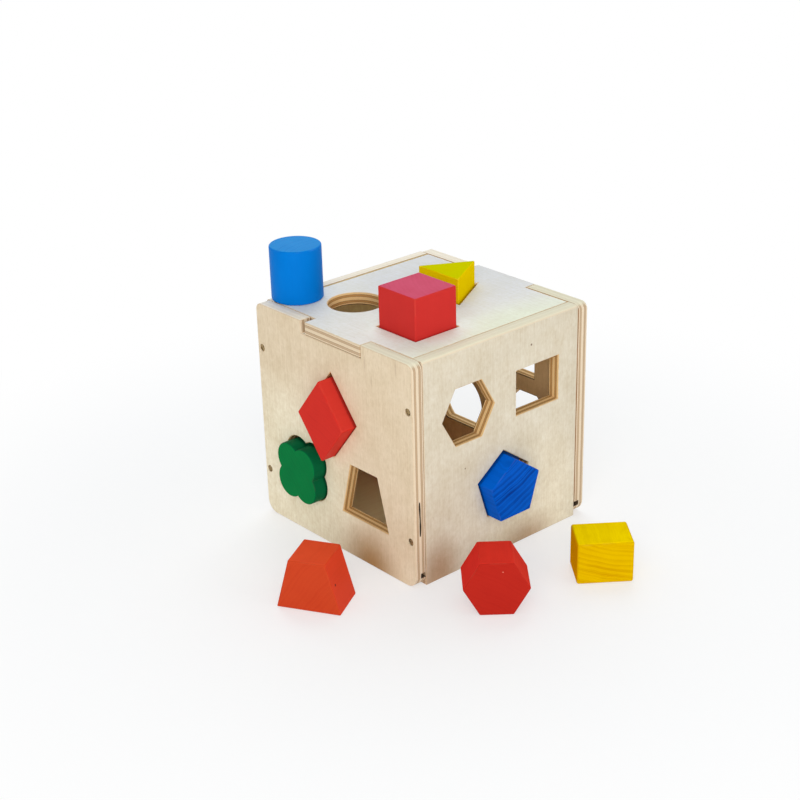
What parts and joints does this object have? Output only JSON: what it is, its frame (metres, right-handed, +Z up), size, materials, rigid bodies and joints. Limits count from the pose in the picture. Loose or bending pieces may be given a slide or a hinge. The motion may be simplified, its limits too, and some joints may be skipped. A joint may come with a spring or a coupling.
{
  "type": "shape sorter",
  "caption": "Cubic plywood shape sorter with a lift-out lid, outline holes in its walls and painted wooden blocks that pass through them, some lying in their holes and some beside the box.",
  "frame": {"origin": "middle of the box's base, on the plane of the four walls' bottom edges", "axes": "+Z up, -Y towards the front wall with the hexagon, rectangle and pentagon holes, -X towards the left wall with the rhombus, trapezoid and clover holes"},
  "size_m": [0.2095, 0.2244, 0.1735],
  "materials": {
    "ply_side": "bare sanded birch plywood",
    "ply_front": "bare sanded birch plywood",
    "ply_lid": "bare sanded birch plywood",
    "panel": "bare thin plywood",
    "nail": "bright wire nail, dulled",
    "paint_sky_blue": "satin toy paint on wood",
    "paint_blue": "satin toy paint on wood",
    "paint_red": "satin toy paint on wood",
    "paint_orange": "satin toy paint on wood",
    "paint_lemon": "satin toy paint on wood",
    "paint_amber": "satin toy paint on wood",
    "paint_green": "satin toy paint on wood"
  },
  "bodies": {
    "box": {"left_wall": "ply_side", "right_wall": "ply_side", "front_wall": "ply_front", "back_wall": "ply_front", "bottom_panel": "panel", "left_nails": "nail", "right_nails": "nail"},
    "lid": {"lid": "ply_lid"},
    "round_block": {"round_block": "paint_sky_blue"},
    "square_block": {"square_block": "paint_red"},
    "triangle_block": {"triangle_block": "paint_lemon"},
    "rhombus_block": {"rhombus_block": "paint_red"},
    "trapezoid_block": {"trapezoid_block": "paint_orange"},
    "clover_block": {"clover_block": "paint_green"},
    "hexagon_block": {"hexagon_block": "paint_red"},
    "rectangle_block": {"rectangle_block": "paint_amber"},
    "pentagon_block": {"pentagon_block": "paint_blue"},
    "dome_block": {"dome_block": "paint_blue"},
    "octagon_block": {"octagon_block": "paint_red"},
    "quarter_block": {"quarter_block": "paint_green"}
  },
  "joints": [
    {"name": "lid_lift", "type": "slide", "parent": "box", "child": "lid", "axis": [0, 0, 1], "range_m": [0, 0.06]},
    {"name": "round_lift", "type": "slide", "parent": "lid", "child": "round_block", "axis": [0, 0, 1], "range_m": [0, 0.1]},
    {"name": "square_push", "type": "slide", "parent": "lid", "child": "square_block", "axis": [0, 0, 1], "range_m": [-0.0335, 0.05]},
    {"name": "triangle_push", "type": "slide", "parent": "lid", "child": "triangle_block", "axis": [0, 0, 1], "range_m": [-0.0236, 0.05]},
    {"name": "rhombus_push", "type": "slide", "parent": "box", "child": "rhombus_block", "axis": [-1, 0, 0], "range_m": [-0.0182, 0.017]},
    {"name": "clover_push", "type": "slide", "parent": "box", "child": "clover_block", "axis": [-1, 0, 0], "range_m": [-0.0168, 0.0182]},
    {"name": "pentagon_push", "type": "slide", "parent": "box", "child": "pentagon_block", "axis": [0, -1, 0], "range_m": [-0.0188, 0.0163]},
    {"name": "trapezoid_lift", "type": "slide", "parent": "box", "child": "trapezoid_block", "axis": [0, 0, 1], "range_m": [0, 0.15]},
    {"name": "hexagon_lift", "type": "slide", "parent": "box", "child": "hexagon_block", "axis": [0, 0, 1], "range_m": [0, 0.15]},
    {"name": "rectangle_lift", "type": "slide", "parent": "box", "child": "rectangle_block", "axis": [0, 0, 1], "range_m": [0, 0.15]},
    {"name": "dome_lift", "type": "slide", "parent": "box", "child": "dome_block", "axis": [0, 0, 1], "range_m": [0, 0.09]},
    {"name": "octagon_lift", "type": "slide", "parent": "box", "child": "octagon_block", "axis": [0, 0, 1], "range_m": [0, 0.034]},
    {"name": "quarter_lift", "type": "slide", "parent": "octagon_block", "child": "quarter_block", "axis": [0, 0, 1], "range_m": [0, 0.034]}
  ]
}
